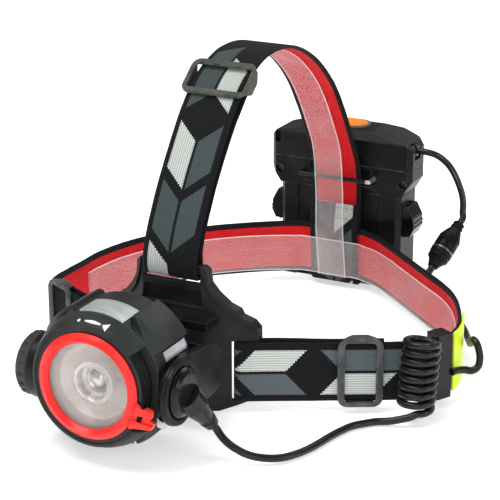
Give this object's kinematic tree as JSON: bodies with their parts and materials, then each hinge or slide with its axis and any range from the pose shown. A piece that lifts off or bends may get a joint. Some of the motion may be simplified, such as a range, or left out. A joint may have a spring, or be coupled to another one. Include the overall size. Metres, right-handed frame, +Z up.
{
  "type": "headband cap lamp",
  "caption": "Headband lamp with a tilting, zooming lamp head on a forehead plate, webbing head and top straps, and a rear battery pack joined by a curly lead.",
  "frame": {"origin": "centre of the lamp's bounding box in plan, on the ground that the plate and the pack stand on", "axes": "+Y from the lamp at the forehead back to the battery pack, +Z up, +X to the right seen from the front"},
  "size_m": [0.1883, 0.254, 0.1312],
  "materials": {
    "black_webbing": "ribbed knit with paired pale leaf shapes along the middle",
    "clear_grip": "clear soft strip",
    "slider_grey": "moulded",
    "frame_black": "fine texture",
    "foam": "soft foam",
    "screw_steel": "plain",
    "soft_black": "satin",
    "housing_grey": "satin anodised",
    "satin_silver": "satin",
    "bare_aluminium": "machined",
    "barrel_black": "smooth",
    "ring_red": "anodised",
    "seal_rubber": "satin",
    "clear_lens": "clear",
    "emitter_yellow": "phosphor under a clear dome",
    "board_green": "solder mask",
    "pack_black": "fine texture",
    "button_orange": "satin",
    "bezel_grey": "satin",
    "cell_wrap": "shrink wrap",
    "contact_metal": "plated",
    "cord_black": "smooth jacket",
    "tag_yellow": "bright"
  },
  "bodies": {
    "harness": {"headband": "black_webbing", "headband_grip": "clear_grip", "top_strap": "black_webbing", "top_strap_grip": "clear_grip", "slider_right": "slider_grey", "slider_left": "slider_grey", "slider_top": "slider_grey", "base_plate": "frame_black", "forehead_pad": "foam", "yoke": "frame_black", "yoke_screws": "screw_steel", "cable_boot": "soft_black", "pack_hood": "pack_black", "pack_cap": "pack_black", "hood_screws": "screw_steel", "strap_bar": "screw_steel", "button_bezel": "bezel_grey", "power_switch": "frame_black", "charge_board": "board_green", "top_contacts": "contact_metal", "cable_gland": "soft_black", "pack_lead": "cord_black", "plug": "soft_black", "socket": "soft_black", "clip_lead": "cord_black", "coil_lead": "cord_black", "lamp_lead": "cord_black", "lead_clip": "soft_black", "safety_tag": "tag_yellow"},
    "lamp": {"lamp_housing": "housing_grey", "top_inlay": "satin_silver", "side_inlays": "satin_silver", "guide_barrel": "barrel_black", "rear_cover": "housing_grey", "rear_screws": "screw_steel", "pivot_pins": "screw_steel", "heat_sink": "bare_aluminium", "led_board": "bare_aluminium", "led_emitter": "emitter_yellow", "driver_board": "board_green"},
    "ring": {"zoom_ring": "ring_red", "ring_seal": "seal_rubber"},
    "optic": {"lens_carrier": "barrel_black", "lens": "clear_lens"},
    "knob": {"brightness_knob": "soft_black"},
    "button": {"push_button": "button_orange"},
    "case": {"cell_case": "pack_black", "case_seal": "seal_rubber", "cells": "cell_wrap", "cell_springs": "contact_metal"},
    "latch_r": {"latch_right": "pack_black"},
    "latch_l": {"latch_left": "pack_black"}
  },
  "joints": [
    {"name": "lamp_tilt", "type": "hinge", "parent": "harness", "child": "lamp", "pos_m": [-0.00945, -0.1089, 0.0304], "axis": [1, 0, 0], "range_deg": [-5, 60]},
    {"name": "zoom_turn", "type": "hinge", "parent": "lamp", "child": "ring", "pos_m": [-0.00945, -0.1189, 0.033], "axis": [0, 1, 0], "range_deg": [-45, 0]},
    {"name": "lens_slide", "type": "slide", "parent": "lamp", "child": "optic", "axis": [0, 1, 0], "range_m": [0, 0.004]},
    {"name": "knob_turn", "type": "hinge", "parent": "lamp", "child": "knob", "pos_m": [-0.045, -0.1089, 0.0304], "axis": [-1, 0, 0], "range_deg": [0, 270]},
    {"name": "button_press", "type": "slide", "parent": "harness", "child": "button", "axis": [0, 0, -1], "range_m": [0, 0.001], "stiffness_N_per_m": 1500, "springref_m": -0.0005},
    {"name": "case_slide", "type": "slide", "parent": "harness", "child": "case", "axis": [0, 0, -1], "range_m": [0, 0.03]},
    {"name": "latch_right_press", "type": "hinge", "parent": "case", "child": "latch_r", "pos_m": [0.02255, 0.1088, 0.0266], "axis": [0, -1, 0], "range_deg": [0, 6], "stiffness_Nm_per_rad": 0.8, "springref_deg": -1.15},
    {"name": "latch_left_press", "type": "hinge", "parent": "case", "child": "latch_l", "pos_m": [-0.04145, 0.1088, 0.0266], "axis": [0, 1, 0], "range_deg": [0, 6], "stiffness_Nm_per_rad": 0.8, "springref_deg": -1.15}
  ],
  "couplings": [
    {"joint": "lens_slide", "follows": "zoom_turn", "m_per_rad": -0.00509}
  ]
}
